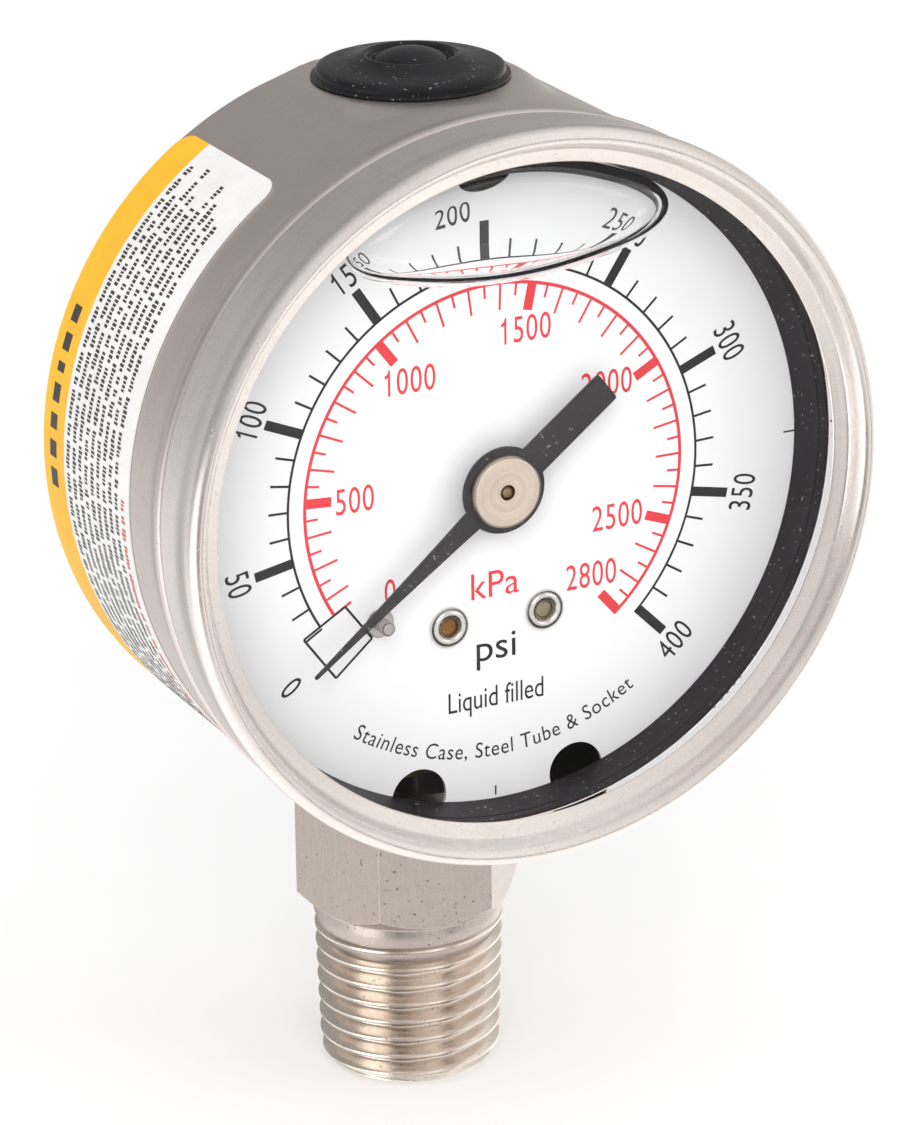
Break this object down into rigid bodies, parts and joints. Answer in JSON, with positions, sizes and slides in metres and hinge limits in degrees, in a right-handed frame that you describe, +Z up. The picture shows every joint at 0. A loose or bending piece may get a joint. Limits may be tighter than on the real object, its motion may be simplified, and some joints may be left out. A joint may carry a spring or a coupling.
{
  "type": "pressure gauge",
  "caption": "Liquid-filled dial pressure gauge: round steel case with crimped bezel, clear lens, pointer driven by a curved tube and sector movement, bottom taper-thread connection.",
  "frame": {"origin": "centre of the flat back of the case, on the case axis", "axes": "+Z up, away from the threaded connection; the dial faces -Y, so +Y points out of the back of the case; +X is to the right seen from the front"},
  "size_m": [0.0524, 0.0292, 0.0767],
  "materials": {
    "case_steel": "satin",
    "bezel_steel": "polished satin",
    "lens_glass": "clear",
    "black_rubber": "semi-gloss",
    "dial_white": "satin white with printed scale",
    "label_print": "printed film, yellow band and white field",
    "pointer_black": "satin black",
    "hub_nickel": "turned nickel",
    "socket_steel": "machined",
    "screw_steel": "plain",
    "dial_screw_metal": "dull",
    "tube_steel": "drawn",
    "spring_bronze": "bright",
    "movement_brass": "stamped"
  },
  "bodies": {
    "housing": {"case": "case_steel", "bezel_ring": "bezel_steel", "lens": "lens_glass", "lens_gasket": "black_rubber", "dial": "dial_white", "dial_screw_left": "dial_screw_metal", "dial_screw_right": "dial_screw_metal", "dial_spacer_left": "movement_brass", "dial_spacer_right": "movement_brass", "stop_pin": "hub_nickel", "side_label": "label_print", "socket": "socket_steel", "socket_seal": "black_rubber", "case_screw_left": "screw_steel", "case_screw_right": "screw_steel", "movement_front_plate": "movement_brass", "movement_rear_plate": "movement_brass", "pillar_upper_left": "movement_brass", "pillar_upper_right": "movement_brass", "pillar_lower_left": "movement_brass", "pillar_lower_right": "movement_brass", "movement_screw_upper_left": "screw_steel", "movement_screw_upper_right": "screw_steel", "movement_screw_lower_left": "screw_steel", "movement_screw_lower_right": "screw_steel", "plate_screw_left": "screw_steel", "plate_screw_right": "screw_steel", "bourdon_tube": "tube_steel", "hairspring": "spring_bronze", "hairspring_stud": "movement_brass"},
    "pointer_assembly": {"pointer": "pointer_black", "pointer_hub": "hub_nickel", "pinion_shaft": "screw_steel", "pinion_gear": "movement_brass", "hairspring_collet": "movement_brass"},
    "sector_assembly": {"sector_gear": "movement_brass", "sector_shaft": "screw_steel", "tail_pin": "screw_steel"},
    "link": {"link": "screw_steel"},
    "tube_end": {"tube_tip": "screw_steel", "tip_pin": "screw_steel"},
    "fill_plug": {"fill_plug": "black_rubber"}
  },
  "joints": [
    {"name": "pointer_sweep", "type": "hinge", "parent": "housing", "child": "pointer_assembly", "pos_m": [-0.00071, -0.018, -0.00031], "axis": [0, 1, 0], "range_deg": [0, 262.8], "deforming": ["hairspring"]},
    {"name": "sector_swing", "type": "hinge", "parent": "housing", "child": "sector_assembly", "pos_m": [-0.00071, -0.014, -0.00971], "axis": [0, 1, 0], "range_deg": [-26.48, 0.2]},
    {"name": "link_pivot", "type": "hinge", "parent": "sector_assembly", "child": "link", "pos_m": [0.00081, -0.0137, -0.01276], "axis": [0, 1, 0], "range_deg": [-0.2, 24.39]},
    {"name": "tube_flex", "type": "hinge", "parent": "housing", "child": "tube_end", "pos_m": [-0.00271, -0.0078, 0.00446], "axis": [0, 1, 0], "range_deg": [-5.07, 0.1], "deforming": ["bourdon_tube"]},
    {"name": "plug_pull", "type": "slide", "parent": "housing", "child": "fill_plug", "axis": [0, 0, 1], "range_m": [0, 0.012]}
  ],
  "couplings": [
    {"joint": "sector_swing", "follows": "pointer_sweep", "ratio": -0.1},
    {"joint": "link_pivot", "follows": "pointer_sweep", "ratio": 0.092061},
    {"joint": "tube_flex", "follows": "pointer_sweep", "ratio": -0.018895}
  ]
}
